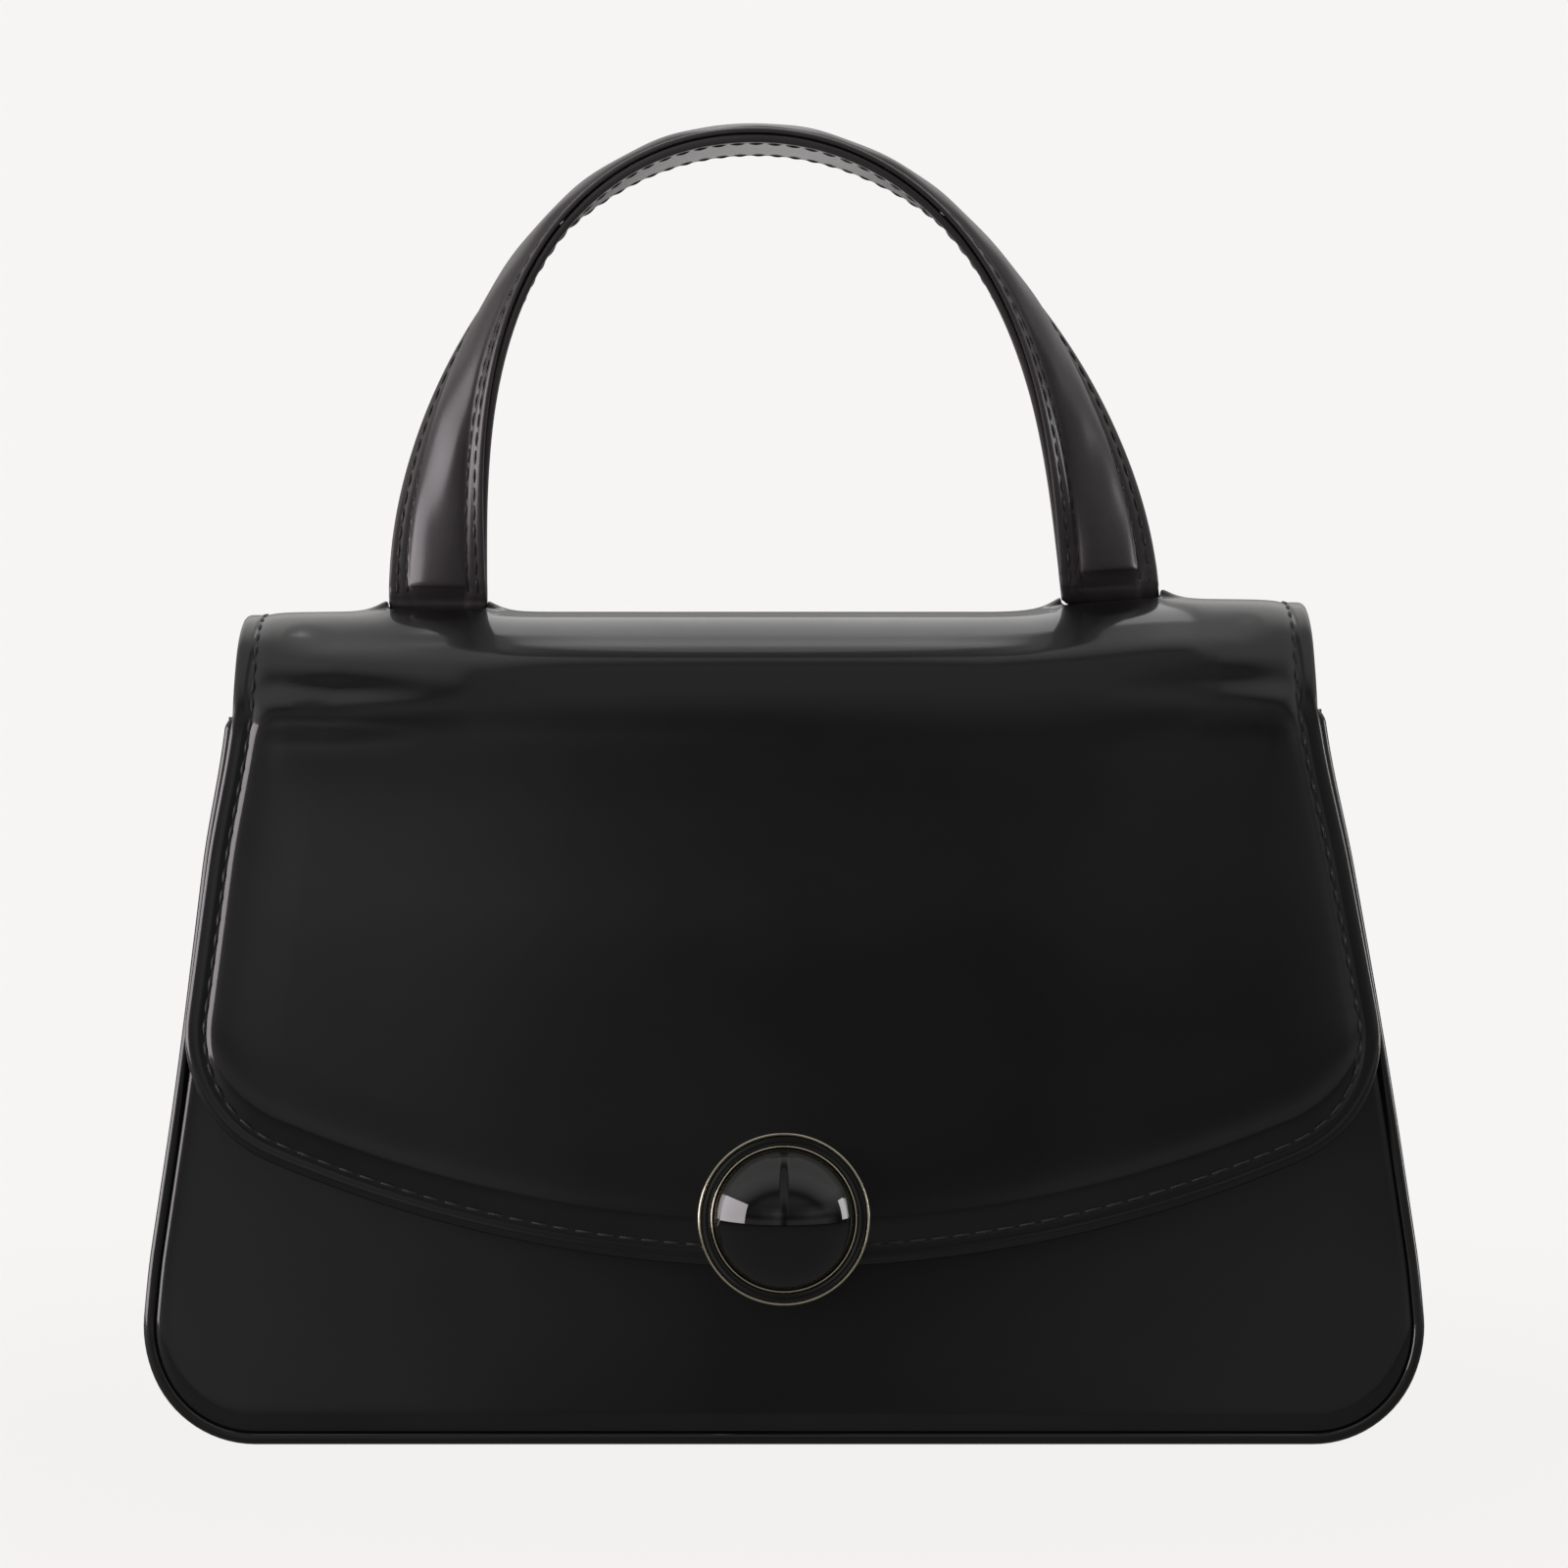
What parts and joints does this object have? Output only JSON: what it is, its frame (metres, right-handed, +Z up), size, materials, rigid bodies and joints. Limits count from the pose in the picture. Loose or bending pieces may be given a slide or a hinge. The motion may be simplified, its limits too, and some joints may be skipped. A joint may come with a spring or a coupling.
{
  "type": "top handle bag",
  "caption": "Small structured leather handbag: trapezoid body with rounded lower corners, fold-over front flap, round domed ornament over a magnetic snap, arched top handle.",
  "frame": {"origin": "on the resting plane, midway between the front and back panels and between the sides", "axes": "+X to the right as seen from the front, +Y from front to back, +Z up"},
  "size_m": [0.262, 0.0956, 0.2754],
  "materials": {
    "black_leather": "polished black box calf",
    "lining_suede": "matt dark brown lining leather",
    "fibre_board": "bonded leather board",
    "snap_metal": "polished pale gilt",
    "anchor_steel": "plain steel",
    "gilt_metal": "polished pale gilt",
    "black_enamel": "gloss black enamel",
    "black_stone": "polished black cabochon"
  },
  "bodies": {
    "body": {"front_panel": "black_leather", "back_panel": "black_leather", "gusset": "black_leather", "front_board": "fibre_board", "back_board": "fibre_board", "front_piping": "black_leather", "back_piping": "black_leather", "front_lining": "lining_suede", "back_lining": "lining_suede", "gusset_lining": "lining_suede", "front_facing": "black_leather", "back_facing": "black_leather", "base_board": "fibre_board", "slip_pocket": "lining_suede", "snap_magnet": "snap_metal", "magnet_washer": "snap_metal"},
    "flap": {"flap_leather_cover": "black_leather", "flap_stiffener": "fibre_board", "flap_lining": "lining_suede", "left_handle_anchor": "anchor_steel", "right_handle_anchor": "anchor_steel", "handle_pins": "anchor_steel", "anchor_rivets": "anchor_steel", "ornament_setting": "gilt_metal", "ornament_ring": "black_enamel", "ornament_stone": "black_stone", "snap_washer": "snap_metal", "snap_stud": "snap_metal"},
    "handle": {"handle_strap": "black_leather", "handle_padding": "fibre_board", "handle_cover": "black_leather"}
  },
  "joints": [
    {"name": "flap_hinge", "type": "hinge", "parent": "body", "child": "flap", "pos_m": [0, 0.02747, 0.14915], "axis": [-1, 0, 0], "range_deg": [0, 120]},
    {"name": "handle_hinge", "type": "hinge", "parent": "flap", "child": "handle", "pos_m": [0, -0.00235, 0.1696], "axis": [1, 0, 0], "range_deg": [-25, 25]}
  ]
}
